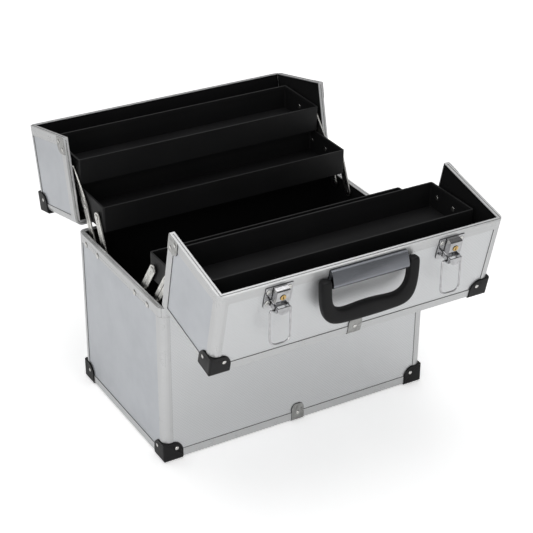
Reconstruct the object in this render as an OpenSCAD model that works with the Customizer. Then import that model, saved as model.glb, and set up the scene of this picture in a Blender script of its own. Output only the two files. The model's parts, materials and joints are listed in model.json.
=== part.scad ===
// Cantilever tool box: an aluminium-framed case whose top opens as two lids, with two trays
// on each side that are carried out over the lids by parallel steel arms.
// X runs along the case, -Y is the front, +Z is up. The origin is the middle of the base,
// on the floor. The part is drawn with both lids open.

/* [Case] */
// Length of the case over the end profiles
case_l = 404; // [320:1:520]
// Depth of the case over the front and rear profiles
case_w = 245; // [215:1:300]
// Height of the base rim above the floor
base_h = 232; // [150:1:320]
// Height of each lid
lid_h = 126; // [110:1:160]
// Gap between the two closed lids
seam_gap = 1; // [0.4:0.1:2]
// Gap between the base rim and a closed lid
rim_gap = 0.5; // [0.2:0.1:1.5]

/* [Frame profiles and panels] */
// Thickness of the panels
panel_t = 4; // [3:0.5:6]
// Wall of the aluminium profiles
skin_t = 0.8; // [0.6:0.1:1.2]
// Thickness of the lining board
lining_t = 1.2; // [0.8:0.1:2]
// Width of a profile's leg on each face
profile_leg = 13; // [10.5:0.5:18]
// Thickness of the web that closes a rim profile
rim_web = 1.2; // [1:0.1:2]
// Radius of the corners between end faces and the other faces
corner_r = 10; // [6:0.5:10]
// Radius of the long edges
edge_r = 3; // [1.5:0.5:5]
// Width of the solid core in a corner profile
core_w = 8; // [6.5:0.5:10]

/* [Corner protectors and clips] */
// Wall of the plastic corner protectors
protector_t = 1.6; // [1.2:0.1:2.5]
// Length of a protector's leg
protector_leg = 27; // [24:1:34]
// Radius of a protector's outer corner edges
protector_edge_r = 3.5; // [2:0.5:6]
// Distance of a protector's rivets from the edges of the case
protector_rivet_in = 17.5; // [16:0.5:20]
// Radius of a protector's free corner
protector_r = 15; // [6:1:18]
// Wall of the steel clips and corner plates
clip_t = 0.8; // [0.6:0.1:1.2]
// Width of the mid-edge clips
clip_w = 19; // [12:1:26]
// Length of a clip's leg on the broad face
clip_leg = 26; // [16:1:34]
// Length of a clip's leg on the narrow face
clip_return = 13; // [8:1:18]
// Size of the steel plates at the lids' inner corners
corner_plate = 23; // [16:1:30]

/* [Lid hinges] */
// Angle through which each lid opens
lid_open = 103; // [60:1:110]
// Distance of the hinge axis from the outer faces
hinge_off = 3.4; // [3.2:0.1:4]
// Radius of the hinge barrels
barrel_r = 3; // [2.4:0.1:3]
// Radius of the hinge pins
hinge_pin_r = 1.45; // [1:0.05:1.8]
// Length of each hinge
hinge_l = 51; // [36:3:72]
// Distance between the hinges of one lid
hinge_pitch = 130; // [100:1:160]
// Thickness of the hinge leaves
leaf_t = 1.2; // [0.8:0.1:1.6]

/* [Trays] */
// What a half of the case keeps free beside a tray
tray_free = 30.5; // [28:0.5:40]
// Height of the trays
tray_h = 36; // [30:1:40]
// Wall of the trays
tray_t = 1.2; // [0.8:0.1:2]
// Height of the folded rim inside a tray
hem_h = 5; // [3:0.5:8]
// Space at each end for the arms
arm_space = 7.7; // [7:0.1:12]
// How far the lower trays stand out past the base
lower_reach = 37.5; // [32:0.5:42]
// How far the upper trays stand out past the base
upper_reach = 110.5; // [106:0.5:114]
// Height of the open lower trays above the base rim
lower_rise = 17; // [14:0.5:24]
// Space between the levels of the two trays
stack_gap = 3; // [2:0.5:5]

/* [Arms] */
// Width of the arms
arm_w = 13; // [10:0.5:15]
// Thickness of the arms
arm_t = 2; // [1.5:0.1:2.5]
// Distance between the two pivots of a tray or of the base
pivot_gap = 36; // [32:0.5:40]
// Depth of the base pivots below the rim
pivot_drop = 10.5; // [9:0.5:14]
// Distance of the front outer base pivot from the front face
front_pivot_in = 36.5; // [34:0.5:38]
// Distance of the rear outer base pivot from the rear face
rear_pivot_in = 25.5; // [24:0.5:28]
// Distance of a tray's innermost pivot from its outer wall
tray_pin_out = 78; // [76:0.5:82]
// Radius of the pivot rivets
rivet_r = 2; // [1.5:0.1:2.5]
// Radial play of the arms on their rivets
pivot_play = 0.05; // [0.02:0.01:0.1]
// Radial play at the pivots where each parallelogram closes
closing_play = 0.3; // [0.1:0.05:0.4]

/* [Handle] */
// Width of the handle
handle_w = 143; // [120:1:170]
// Length of the handle below its pivots
handle_len = 54; // [48:1:64]
// Depth of the grip bar
grip_d = 24; // [18:1:28]
// Width of the handle's legs
handle_leg = 17; // [12:1:20]
// Thickness of the handle
handle_t = 14; // [10:0.5:15]
// Distance of the handle pivots from the lid's free edge
handle_pivot_v = 19; // [17:0.5:24]
// Height of the handle pivots above the lid
handle_pivot_w = 8; // [7.5:0.5:12]
// Radius of the handle's pivot pins
handle_pin_r = 2.5; // [2:0.1:3]

/* [Latches] */
// Distance between the two latches
latch_pitch = 245; // [200:1:280]
// Width of a latch plate
latch_w = 37; // [32:1:42]
// Length of a latch plate
latch_l = 32; // [30:1:40]
// Distance of the latch plates from the lid's free edge
latch_edge = 4; // [2:0.5:6]
// Thickness of a latch plate
latch_t = 1.2; // [0.8:0.1:1.6]
// Width of the lock housing
lock_w = 17.4; // [14:0.2:19]
// Height of the lock housing above the lid
lock_h = 11; // [9:0.5:13]
// Radius of the lock cylinder
lock_r = 3.8; // [3:0.1:4.5]
// Distance of the latch pins from the lid's free edge
latch_pin_v = 33.5; // [32:0.5:36]
// Height of the latch pins above the lid
latch_pin_w = 9; // [8:0.5:11]
// Radius of the latch pins
latch_pin_r = 1.5; // [1.2:0.1:2]
// Radius of the bail wire
wire_r = 1.25; // [1:0.05:1.6]
// Width of the bail between the middles of its legs
bail_w = 28; // [25:0.5:32]
// Length of the bail from its pin to the middle of its cross bar
bail_l = 47; // [40:0.5:52]
// Radius of the bail's corners
bail_r = 9; // [5:0.5:12]

/* [Hidden] */
$fn = 48;
eps = 0.01;
hl = case_l / 2;
hw = case_w / 2;
// The depths of the wall's layers, from outside to inside
panel_in = skin_t + panel_t;
lining_in = panel_in + lining_t;
wall = lining_in + skin_t;
floor_z = protector_t;
base_web_z = base_h - rim_web;
seam_y = seam_gap / 2;
lid_z = base_h + rim_gap;
lid_top = lid_z + lid_h;
hinge_y = hw + hinge_off;
hinge_z = base_h + rim_gap / 2;
hang = lid_open - 90;
rivet_head_r = 4;
rivet_head_h = 1.2;
inner_head_r = 3.6;
inner_head_h = 0.4;
shoulder_r = 4;
arm_play = 0.15;
small_head_r = 2.6;
small_head_h = 0.8;
small_shank_r = 1.4;
// How far a small rivet goes in behind the plate that it holds
rivet_grip = skin_t + 0.75 * panel_t;
// Distance of the clips' rivets from the edges
rivet_in = (corner_r + profile_leg) / 2;
// Distance of a corner plate's rivets from the edges
plate_rivet_in = profile_leg / 2;
fit_play = 0.05;
// Depth from a lid's rim over which the inside corners are square
square_depth = 30;
// Width of the cuts where profiles meet in a mitre
mitre_w = 0.16;
// How far a cut reaches past the piece that it cuts
past = 1;
// Room round a part in which a cut may end
around = 9;

// Trays
tray_w = hw - tray_free;
tray_hl = hl - wall - arm_space;
tray_hem = 2 * tray_t;
lower_in = hw + lower_reach - tray_w;
upper_in = hw + upper_reach - tray_w;
lower_floor = base_h + lower_rise;
upper_floor = lower_floor + tray_h + stack_gap;

// Pivots, as [distance from the middle plane, height]
pin_up = tray_h / 2;
tray_r = 3;
base_pin_z = base_h - pivot_drop;
lower_pin = [lower_in + tray_w - tray_pin_out, lower_floor + pin_up];
upper_pin = [upper_in + tray_w - tray_pin_out, upper_floor + pin_up];
next_pin = [pivot_gap, 0];
// The arms lie in one layer between the trays and the case walls
arm_x = tray_hl + 2.1;
arm_out = arm_x + arm_t;

// Hinges
barrel_n = 3;
barrel_gap = 0.2;
barrel_l = (hinge_l - (barrel_n - 1) * barrel_gap) / barrel_n;
hinge_xs = [-hinge_pitch, 0, hinge_pitch];
leaf_clear = barrel_r + 0.4;
leaf_reach = profile_leg;
leaf_rivet_x = hinge_l / 3;
leaf_rivet_z = leaf_reach - 5;
// The groove along every rim face
groove_w = 1.2;
groove_d = 0.5;
groove_out = wall / 2 - groove_w / 2;
groove_in = wall / 2 + groove_w / 2;

// Distance of a side's inner base pivot from the middle plane; side 1 is the rear
function base_pin(side) = hw - pivot_gap - (side > 0 ? rear_pivot_in : front_pivot_in);
function base_pivot(side) = [base_pin(side), base_pin_z];

bore_r = rivet_r + pivot_play;
open_bore_r = rivet_r + closing_play;

// Latches
latch_x = latch_pitch / 2;
latch_wing_x = latch_w / 4 + lock_w / 4;
latch_corner_r = 5;
wing_head_r = 3.6;
// Distance of the wings' rivets from the plate's near and far edge
wing_rivet_near = 6.5;
wing_rivet_far = 9;
wing_rivets = [
    [latch_wing_x, latch_edge + wing_rivet_near],
    [latch_wing_x, latch_edge + latch_l - wing_rivet_far],
    [-latch_wing_x, latch_edge + wing_rivet_near]
];
lock_l = 20;
lock_in = 10.5;
lock_v = latch_edge + lock_in;
// Where the lock cylinder starts and how far it stands out
lock_w0 = 2;
lock_out = 0.8;
key_t = 1.1;
key_w = 4.6;
key_d = 4;
// The lever turns on a pin in two ears and carries the bail on its cheeks
lever_v = latch_pin_v - 4.6;
lever_w = latch_pin_w - 1.2;
lever_h = latch_pin_w + 8;
lever_end_v = latch_pin_v + 3;
lever_t = 1.2;
lever_hw = lock_w / 2 - 0.1;
cheek_r = 3;
ear_x = lever_hw + 0.3;
ear_t = 1.2;
ear_r = 3.1;
// Where the bail's ends stop, and the bends that turn them in
bail_in = lever_hw - lever_t - 0.6;
pin_bend_r = 2.2;
// The keeper's hook stands just short of where the bail's bar comes down
keeper_bar_v = bail_l - latch_pin_v - seam_gap;
keeper_w = 24;
keeper_l = 18;
keeper_edge = 4;
keeper_hook_w = 9;
keeper_h = 7;
// How far the hook's lip reaches, and what it leaves beside the bail's bar
keeper_lip = 2.2;
bar_play = 0.3;
keeper_rivet_x = 7.5;
keeper_rivet_v = keeper_edge + keeper_l - 4;

// Handle
handle_r = 20;
handle_inner_r = 14;
// What the mount leaves beside the handle's legs and beside the rim profile
mount_play = 0.5;
seat_play = 0.3;
// How far the mount reaches past and over the handle's pivots
mount_back = 9;
mount_over = 5.5;
// Half the width of the mount's ridge, and the slope behind it
ridge_half = 1.5;
ridge_fall = 1;
ridge_step = 3;
// The mount's half length, its edges, its heights and the edges of its ridge
mount_hl = handle_w / 2 - handle_leg - mount_play;
mount_v0 = 3;
mount_v1 = handle_pivot_v + mount_back;
mount_h = handle_pivot_w + mount_over;
mount_front_h = 5;
mount_back_h = 3;
mount_ridge_v = handle_pivot_v - ridge_half / 3;
mount_ridge_v0 = mount_ridge_v - ridge_half;
mount_ridge_v1 = mount_ridge_v + ridge_half;
mount_step_v = mount_ridge_v1 + ridge_step;
mount_step_h = mount_h - ridge_fall;
// Where the mount steps down from the rim profile to the panel
mount_seat_v = profile_leg + seat_play;
handle_pin_in = 10;

// ---------- Helpers ----------

// Draws its children at both ends of the case
module both_ends() {
    children();
    mirror([1, 0, 0])
        children();
}

// side 1 is the rear, side -1 the front
module on_side(side) {
    if (side > 0)
        children();
    else
        mirror([0, 1, 0])
            children();
}

// Takes a piece of a closed lid to the open position
module open_lid(side) {
    on_side(side)
        translate([0, hinge_y, hinge_z])
            rotate([-lid_open, 0, 0])
                translate([0, -hinge_y, -hinge_z])
                    children();
}

// Sets its children on a closed lid's top: x along the lid, y from its free edge, z off its face
module on_lid_top() {
    translate([0, seam_y, lid_top])
        children();
}

// Extrudes an outline drawn in (y, z) along x
module along_x(x0, length) {
    translate([x0, 0, 0])
        rotate([90, 0, 90])
            linear_extrude(length)
                children();
}

// Extrudes an outline drawn in (x, z) along y
module along_y(y0, length) {
    translate([0, y0 + length, 0])
        rotate([90, 0, 0])
            linear_extrude(length)
                children();
}

// What is cut away to round a corner whose faces lie on the axes
module round_cut(r) {
    if (r > 0)
        difference() {
            translate([-1, -1])
                square(r + 1);
            translate([r, r])
                circle(r);
        }
}

// A box with its corners given by two opposite points
module block(lo, hi) {
    translate(lo)
        cube(hi - lo);
}

// A rivet along +z with its head on z = 0 and its shank below, or the hole for it
module small_rivet(shank, hole, head_r = small_head_r) {
    if (hole)
        translate([0, 0, -shank - eps])
            cylinder(r = small_shank_r + fit_play, h = shank + small_head_h);
    else
        rotate_extrude()
            polygon([
                [0, -shank], [small_shank_r, -shank], [small_shank_r, 0],
                [head_r, 0], [head_r, small_head_h * 0.35],
                [head_r * 0.62, small_head_h * 0.9], [0, small_head_h]
            ]);
}

// The same rivet set in a face that looks along +x or +y
module rivet_x(at, plate, hole) {
    translate(at)
        rotate([0, 90, 0])
            small_rivet(plate + rivet_grip, hole);
}

module rivet_y(at, plate, hole) {
    translate(at)
        rotate([-90, 0, 0])
            small_rivet(plate + rivet_grip, hole);
}

module rivet_z(at, plate, hole, head_r = small_head_r) {
    translate(at)
        small_rivet(plate + rivet_grip, hole, head_r);
}

// ---------- Frame sections ----------

// Outline of the case from above, moved in by inset
module footprint(inset, r = undef) {
    corner = is_undef(r) ? corner_r - inset : r;
    difference() {
        square([case_l - 2 * inset, case_w - 2 * inset], center = true);
        for (mx = [0, 1], my = [0, 1])
            mirror([mx, 0])
                mirror([0, my])
                    translate([inset - hl, inset - hw])
                        round_cut(corner);
    }
}

// The base as a solid block, moved in by inset on every face but the top
module base_block(inset, r = undef) {
    lo = floor_z + inset;
    intersection() {
        translate([0, 0, lo])
            linear_extrude(base_h - lo)
                footprint(inset, r);
        along_y(-hw - around, case_w + 2 * around)
            difference() {
                translate([inset - hl, lo])
                    square([case_l - 2 * inset, base_h - lo]);
                for (mx = [0, 1])
                    mirror([mx, 0])
                        translate([inset - hl, lo])
                            round_cut(edge_r - inset);
            }
        along_x(-hl - around, case_l + 2 * around)
            difference() {
                translate([inset - hw, lo])
                    square([case_w - 2 * inset, base_h - lo]);
                for (mx = [0, 1])
                    mirror([mx, 0])
                        translate([inset - hw, lo])
                            round_cut(edge_r - inset);
            }
    }
}

// A closed lid as a solid block, moved in by inset on its top, outer and end faces
module lid_block(inset, r = undef) {
    hi = lid_top - inset;
    top_r = is_undef(r) ? corner_r - inset : r;
    intersection() {
        translate([0, 0, lid_z])
            linear_extrude(hi - lid_z)
                intersection() {
                    footprint(inset, r);
                    translate([-hl - around, seam_y])
                        square([case_l + 2 * around, hw + around]);
                }
        along_y(0, hw + around)
            difference() {
                translate([inset - hl, lid_z])
                    square([case_l - 2 * inset, hi - lid_z]);
                for (mx = [0, 1])
                    mirror([mx, 0])
                        translate([inset - hl, hi])
                            mirror([0, 1])
                                round_cut(top_r);
            }
        along_x(-hl - around, case_l + 2 * around)
            difference() {
                translate([0, lid_z])
                    square([hw - inset, hi - lid_z]);
                translate([hw - inset, hi])
                    mirror([1, 1])
                        round_cut(edge_r - inset);
            }
    }
}

// Outline of one face of a corner protector, its corner at the origin
module protector_face() {
    translate([-around, -around])
        difference() {
            square(protector_leg + around);
            translate([protector_leg + around, protector_leg + around])
                rotate(180)
                    round_cut(protector_r);
        }
}

// The space that a protector fills round a corner at the origin
module protector_zone() {
    intersection() {
        translate([0, 0, -around])
            linear_extrude(protector_leg + around)
                protector_face();
        along_x(-around, protector_leg + around)
            protector_face();
        translate([0, protector_leg, 0])
            rotate([90, 0, 0])
                linear_extrude(protector_leg + around)
                    protector_face();
    }
}

// A thin cut at 45 degrees through a corner at the origin, in the plane that it is drawn in
module mitre_line() {
    rotate(45)
        translate([-profile_leg, -mitre_w / 2])
            square([4 * profile_leg, mitre_w]);
}

// ---------- Base ----------

// The space between two depths from the base's faces
module base_shell(out, in) {
    difference() {
        base_block(out);
        union() {
            base_block(in);
            translate([0, 0, base_h - 1])
                linear_extrude(2)
                    footprint(in);
        }
    }
}

// The room that the base's panels take up in the frame
module base_panel_room(out, in, edge) {
    lo = floor_z + edge;
    for (m = [0, 1])
        mirror([m, 0, 0])
            block([hl - in, edge - hw, lo], [hl - out, hw - edge, base_h + 1]);
    for (m = [0, 1])
        mirror([0, m, 0])
            block([edge - hl, hw - in, lo], [hl - edge, hw - out, base_h + 1]);
    block([edge - hl, edge - hw, floor_z + out], [hl - edge, hw - edge, floor_z + in]);
}

module base_frame() {
    difference() {
        base_shell(0, panel_in);
        base_panel_room(skin_t, panel_in + 1, core_w);
        base_panel_room(-1, skin_t + eps, profile_leg);
    }
}

module level_slab(lo, hi) {
    translate([-hl - around, -hw - around, lo])
        cube([case_l + 2 * around, case_w + 2 * around, hi - lo]);
}

// Rivets of the protectors, clips and hinge leaves, or their holes
module base_rivet_set(hole) {
    z = floor_z + rivet_in;
    in = protector_rivet_in;
    both_ends()
        for (side = [-1, 1])
            on_side(side) {
                rivet_x([hl + protector_t, hw - in, floor_z + in], protector_t, hole);
                rivet_y([hl - in, hw + protector_t, floor_z + in], protector_t, hole);
            }
    for (side = [-1, 1])
        on_side(side) {
            rivet_y([0, hw + clip_t, z], clip_t, hole);
            for (x = hinge_xs, s = [-1, 1])
                rivet_y([x + s * leaf_rivet_x, hw + leaf_t, base_h - leaf_rivet_z], leaf_t, hole);
        }
}

// Draws its children at the four base pivots of one end: origin on the axis, +z to the outside
module at_base_pivots() {
    for (side = [-1, 1])
        on_side(side)
            for (y = [base_pin(side), base_pin(side) + pivot_gap])
                both_ends()
                    translate([0, y, base_pin_z])
                        rotate([0, 90, 0])
                            children();
}

module arm_holes(r) {
    at_base_pivots()
        translate([0, 0, hl - wall - 1])
            cylinder(r = r, h = wall + 2);
}

module base_bottom_panel() {
    color("silver")
        block(
            [core_w - hl, core_w - hw, floor_z + skin_t],
            [hl - core_w, hw - core_w, floor_z + panel_in]
        );
}

// A front or rear panel
module base_long_panel() {
    difference() {
        block([core_w - hl, hw - panel_in, floor_z + core_w], [hl - core_w, hw - skin_t, base_web_z]);
        base_rivet_set(true);
    }
}

module base_front_panel() {
    color("silver")
        on_side(-1)
            base_long_panel();
}

module base_rear_panel() {
    color("silver")
        base_long_panel();
}

module base_end_panel() {
    difference() {
        block([hl - panel_in, core_w - hw, floor_z + core_w], [hl - skin_t, hw - core_w, base_web_z]);
        base_rivet_set(true);
        arm_holes(rivet_r + fit_play);
    }
}

module base_left_panel() {
    color("silver")
        mirror([1, 0, 0])
            base_end_panel();
}

module base_right_panel() {
    color("silver")
        base_end_panel();
}

module base_corner_profiles() {
    color("gainsboro")
        difference() {
            intersection() {
                base_frame();
                level_slab(floor_z + profile_leg, base_web_z);
            }
            difference() {
                level_slab(base_h - profile_leg, base_h + 1);
                translate([0, 0, base_h - profile_leg - 1])
                    linear_extrude(profile_leg + 3)
                        footprint(skin_t);
            }
        }
}

module base_bottom_profiles() {
    color("gainsboro")
        difference() {
            intersection() {
                base_frame();
                level_slab(floor_z, floor_z + profile_leg);
            }
            base_rivet_set(true);
        }
}

module base_rim_profiles() {
    color("gainsboro")
        difference() {
            intersection() {
                base_shell(0, wall);
                level_slab(base_h - profile_leg, base_h);
            }
            translate([0, 0, base_h - profile_leg - past])
                linear_extrude(profile_leg + past - rim_web)
                    footprint(skin_t);
            translate([0, 0, base_h - groove_d])
                linear_extrude(1)
                    difference() {
                        footprint(groove_out);
                        footprint(groove_in);
                    }
            for (mx = [0, 1], my = [0, 1])
                mirror([mx, 0, 0])
                    mirror([0, my, 0])
                        translate([-hl, -hw, base_h - profile_leg - 1])
                            linear_extrude(profile_leg + 2)
                                mitre_line();
            base_rivet_set(true);
            arm_holes(rivet_r + fit_play);
        }
}

module base_lining() {
    color("dimgray")
        difference() {
            intersection() {
                base_shell(panel_in, lining_in);
                level_slab(floor_z, base_web_z);
            }
            arm_holes(rivet_r + fit_play);
        }
}

module base_corner_protectors() {
    color("black")
        difference() {
            for (mx = [0, 1], my = [0, 1])
                mirror([mx, 0, 0])
                    mirror([0, my, 0])
                        intersection() {
                            difference() {
                                base_block(-protector_t, protector_edge_r);
                                base_block(0);
                            }
                            translate([-hl, -hw, floor_z])
                                protector_zone();
                        }
            base_rivet_set(true);
        }
}

// Outline of a clip's broad leg, its root on the x axis
module clip_face() {
    r = clip_w / 2 - 1;
    translate([-clip_w / 2, -around])
        square([clip_w, clip_leg - r + around]);
    translate([0, clip_leg - r])
        intersection() {
            circle(clip_w / 2);
            translate([-clip_w, 0])
                square([2 * clip_w, r]);
        }
}

module base_edge_clips() {
    color("silver")
        difference() {
            for (side = [-1, 1])
                on_side(side)
                    intersection() {
                        difference() {
                            base_block(-clip_t);
                            base_block(0);
                        }
                        block(
                            [-clip_w, hw - clip_return, floor_z - around],
                            [clip_w, hw + around, floor_z + clip_leg]
                        );
                        along_y(0, hw + around)
                            translate([0, floor_z])
                                clip_face();
                    }
            base_rivet_set(true);
        }
}

module base_rivets() {
    color("silver")
        base_rivet_set(false);
}

// ---------- Lid hinges ----------

// Draws one hinge part: own lists which barrel pieces belong to it, up is 1 for the lid's leaf
module hinge_leaf(own, up) {
    lo = up > 0 ? leaf_clear : -leaf_reach;
    hi = up > 0 ? leaf_reach : -leaf_clear;
    difference() {
        union() {
            block([-hinge_l / 2, hw, hinge_z + lo], [hinge_l / 2, hw + leaf_t, hinge_z + hi]);
            for (i = own) {
                x = -hinge_l / 2 + i * (barrel_l + barrel_gap);
                z0 = up > 0 ? 0 : -leaf_clear - 1;
                block([x, hw, hinge_z + z0], [x + barrel_l, hw + leaf_t, hinge_z + z0 + leaf_clear + 1]);
                translate([x, hinge_y, hinge_z])
                    rotate([0, 90, 0])
                        cylinder(r = barrel_r, h = barrel_l);
            }
        }
        translate([-hinge_l, hinge_y, hinge_z])
            rotate([0, 90, 0])
                cylinder(r = hinge_pin_r + fit_play, h = 2 * hinge_l);
    }
}

module base_hinge_leaves() {
    color("silver")
        difference() {
            for (side = [-1, 1], x = hinge_xs)
                on_side(side)
                    translate([x, 0, 0])
                        hinge_leaf([0, 2], -1);
            base_rivet_set(true);
        }
}

module hinge_pins() {
    color("silver")
        for (side = [-1, 1], x = hinge_xs)
            on_side(side)
                translate([x - hinge_l / 2 - 0.3, hinge_y, hinge_z])
                    rotate([0, 90, 0])
                        cylinder(r = hinge_pin_r, h = hinge_l + 0.6);
}

// The rivets that carry the arms
module arm_base_rivets() {
    color("silver")
        at_base_pivots()
            rotate_extrude()
                polygon([
                    [0, arm_x - arm_play - inner_head_h], [inner_head_r, arm_x - arm_play - inner_head_h],
                    [inner_head_r, arm_x - arm_play], [rivet_r, arm_x - arm_play],
                    [rivet_r, arm_out + arm_play], [shoulder_r, arm_out + arm_play],
                    [shoulder_r, hl - lining_in], [rivet_r, hl - lining_in], [rivet_r, hl],
                    [rivet_head_r, hl], [rivet_head_r, hl + rivet_head_h * 0.35],
                    [rivet_head_r * 0.6, hl + rivet_head_h], [0, hl + rivet_head_h]
                ]);
}

// ---------- Lids, drawn closed on the rear side ----------

module lid_shell(out, in) {
    difference() {
        lid_block(out);
        union() {
            lid_block(in);
            block([in - hl, -1, lid_z - 1], [hl - in, hw - in, lid_z + square_depth]);
            block([in - hl, -1, lid_z - 1], [hl - in, seam_y + square_depth, lid_top - in]);
        }
    }
}

module lid_panel_room(out, in, edge) {
    both_ends()
        block([hl - in, -1, lid_z - 1], [hl - out, hw - edge, lid_top - edge]);
    block([edge - hl, hw - in, lid_z - 1], [hl - edge, hw - out, lid_top - edge]);
    block([edge - hl, -1, lid_top - in], [hl - edge, hw - edge, lid_top - out]);
}

module lid_rim_zone() {
    block([-hl - around, -past, lid_z - past], [hl + around, hw + around, lid_z + profile_leg]);
    block(
        [-hl - around, -past, lid_z - past],
        [hl + around, seam_y + profile_leg, lid_top + around]
    );
}

// The room behind the webs of the rim profiles
module behind_webs() {
    block([-hl - 1, seam_y + rim_web, lid_z + rim_web], [hl + 1, hw + 1, lid_top + 1]);
}

module lid_rivet_set(hole) {
    in = protector_rivet_in;
    z = lid_top - in;
    y = hw - in;
    near = plate_rivet_in;
    far = corner_plate - near;
    both_ends() {
        rivet_x([hl + protector_t, y, z], protector_t, hole);
        rivet_y([hl - in, hw + protector_t, z], protector_t, hole);
        rivet_z([hl - in, y, lid_top + protector_t], protector_t, hole);
        rivet_x([hl + clip_t, seam_y + near, lid_z + far], clip_t, hole);
        rivet_x([hl + clip_t, seam_y + far, lid_z + near], clip_t, hole);
    }
    rivet_z([0, hw - rivet_in, lid_top + clip_t], clip_t, hole);
    for (x = hinge_xs, s = [-1, 1])
        rivet_y([x + s * leaf_rivet_x, hw + leaf_t, lid_z + leaf_rivet_z], leaf_t, hole);
}

module lid_top_panel_solid() {
    difference() {
        block(
            [core_w - hl, seam_y + rim_web, lid_top - panel_in],
            [hl - core_w, hw - core_w, lid_top - skin_t]
        );
        lid_rivet_set(true);
    }
}

module lid_outer_panel_solid() {
    difference() {
        block([core_w - hl, hw - panel_in, lid_z + rim_web], [hl - core_w, hw - skin_t, lid_top - core_w]);
        lid_rivet_set(true);
    }
}

module lid_end_panels_solid() {
    difference() {
        both_ends()
            block(
                [hl - panel_in, seam_y + rim_web, lid_z + rim_web],
                [hl - skin_t, hw - core_w, lid_top - core_w]
            );
        lid_rivet_set(true);
    }
}

module lid_edge_profiles_solid() {
    difference() {
        lid_shell(0, panel_in);
        lid_panel_room(skin_t, panel_in + 1, core_w);
        lid_panel_room(-1, skin_t + eps, profile_leg);
        lid_rim_zone();
        lid_rivet_set(true);
    }
}

module lid_rim_profiles_solid() {
    difference() {
        intersection() {
            lid_shell(0, wall);
            lid_rim_zone();
        }
        intersection() {
            lid_shell(skin_t, wall + past);
            behind_webs();
        }
        // The grooves along the rim faces
        translate([0, 0, lid_z - 1])
            linear_extrude(1 + groove_d)
                difference() {
                    footprint(groove_out);
                    union() {
                        footprint(groove_in);
                        translate([-hl, -hw])
                            square([case_l, hw + seam_y + wall / 2]);
                    }
                }
        along_y(seam_y - 1, 1 + groove_d)
            difference() {
                rim_line(hl - groove_out, lid_z + wall / 2, lid_top - groove_out);
                rim_line(hl - groove_in, lid_z, lid_top - groove_in);
            }
        both_ends()
            translate([-hl, hw, lid_z - 1])
                linear_extrude(profile_leg + 2)
                    mirror([0, 1])
                        mitre_line();
        lid_rivet_set(true);
    }
}

// The face inside one line of a lid's seam rim: from -x to x and from lo to hi
module rim_line(x, lo, hi) {
    translate([-x, lo])
        square([2 * x, hi - lo]);
}

module lid_lining_solid() {
    intersection() {
        lid_shell(panel_in, lining_in);
        behind_webs();
    }
}

module lid_protectors_solid() {
    difference() {
        both_ends()
            intersection() {
                difference() {
                    lid_block(-protector_t, protector_edge_r);
                    lid_block(0);
                }
                translate([-hl, hw, lid_top])
                    mirror([0, 1, 0])
                        mirror([0, 0, 1])
                            protector_zone();
            }
        lid_rivet_set(true);
    }
}

// Outline of the plate at a lid's inner corner, its corner at the origin
module corner_plate_face() {
    difference() {
        square(corner_plate);
        translate([corner_plate, corner_plate])
            rotate(180)
                round_cut(corner_plate * 0.45);
        round_cut(1.5);
    }
}

module lid_clips_solid() {
    difference() {
        union() {
            intersection() {
                difference() {
                    lid_block(-clip_t);
                    lid_block(0);
                }
                block([-clip_w, 0, lid_top - clip_return], [clip_w, hw + around, lid_top + around]);
                translate([0, hw, lid_top - clip_return - past])
                    mirror([0, 1, 0])
                        linear_extrude(clip_return + around)
                            clip_face();
            }
            both_ends()
                translate([hl, seam_y, lid_z])
                    rotate([90, 0, 90])
                        linear_extrude(clip_t)
                            corner_plate_face();
        }
        lid_rivet_set(true);
    }
}

module lid_hinge_leaves_solid() {
    difference() {
        for (x = hinge_xs)
            translate([x, 0, 0])
                hinge_leaf([1], 1);
        lid_rivet_set(true);
    }
}

// ---------- Front lid ----------

// A piece of the front lid that carries the latch and handle rivets as well
module front_lid_rivet_set(hole) {
    lid_rivet_set(hole);
    on_lid_top()
        for (m = [0, 1], p = wing_rivets)
            mirror([m, 0, 0])
                rivet_z([latch_x + p[0], p[1], latch_t], latch_t, hole, wing_head_r);
}

module front_lid_top_panel() {
    color("silver")
        open_lid(-1)
            difference() {
                lid_top_panel_solid();
                front_lid_rivet_set(true);
            }
}

module front_lid_outer_panel() {
    color("silver")
        open_lid(-1)
            lid_outer_panel_solid();
}

module front_lid_end_panels() {
    color("silver")
        open_lid(-1)
            lid_end_panels_solid();
}

module front_lid_edge_profiles() {
    color("gainsboro")
        open_lid(-1)
            lid_edge_profiles_solid();
}

module front_lid_rim_profiles() {
    color("gainsboro")
        open_lid(-1)
            difference() {
                lid_rim_profiles_solid();
                front_lid_rivet_set(true);
            }
}

module front_lid_lining() {
    color("dimgray")
        open_lid(-1)
            lid_lining_solid();
}

module front_lid_corner_protectors() {
    color("black")
        open_lid(-1)
            lid_protectors_solid();
}

module front_lid_steel_clips() {
    color("silver")
        open_lid(-1)
            lid_clips_solid();
}

module front_lid_rivets() {
    color("silver")
        open_lid(-1)
            front_lid_rivet_set(false);
}

module front_lid_hinge_leaves() {
    color("silver")
        open_lid(-1)
            lid_hinge_leaves_solid();
}

// ---------- Rear lid ----------

module rear_lid_rivet_set(hole) {
    lid_rivet_set(hole);
    on_lid_top()
        for (m = [0, 1], s = [-1, 1])
            mirror([m, 0, 0])
                rivet_z([latch_x + s * keeper_rivet_x, keeper_rivet_v, latch_t], latch_t, hole);
}

module rear_lid_top_panel() {
    color("silver")
        open_lid(1)
            difference() {
                lid_top_panel_solid();
                rear_lid_rivet_set(true);
            }
}

module rear_lid_outer_panel() {
    color("silver")
        open_lid(1)
            lid_outer_panel_solid();
}

module rear_lid_end_panels() {
    color("silver")
        open_lid(1)
            lid_end_panels_solid();
}

module rear_lid_edge_profiles() {
    color("gainsboro")
        open_lid(1)
            lid_edge_profiles_solid();
}

module rear_lid_rim_profiles() {
    color("gainsboro")
        open_lid(1)
            difference() {
                lid_rim_profiles_solid();
                rear_lid_rivet_set(true);
            }
}

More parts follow.
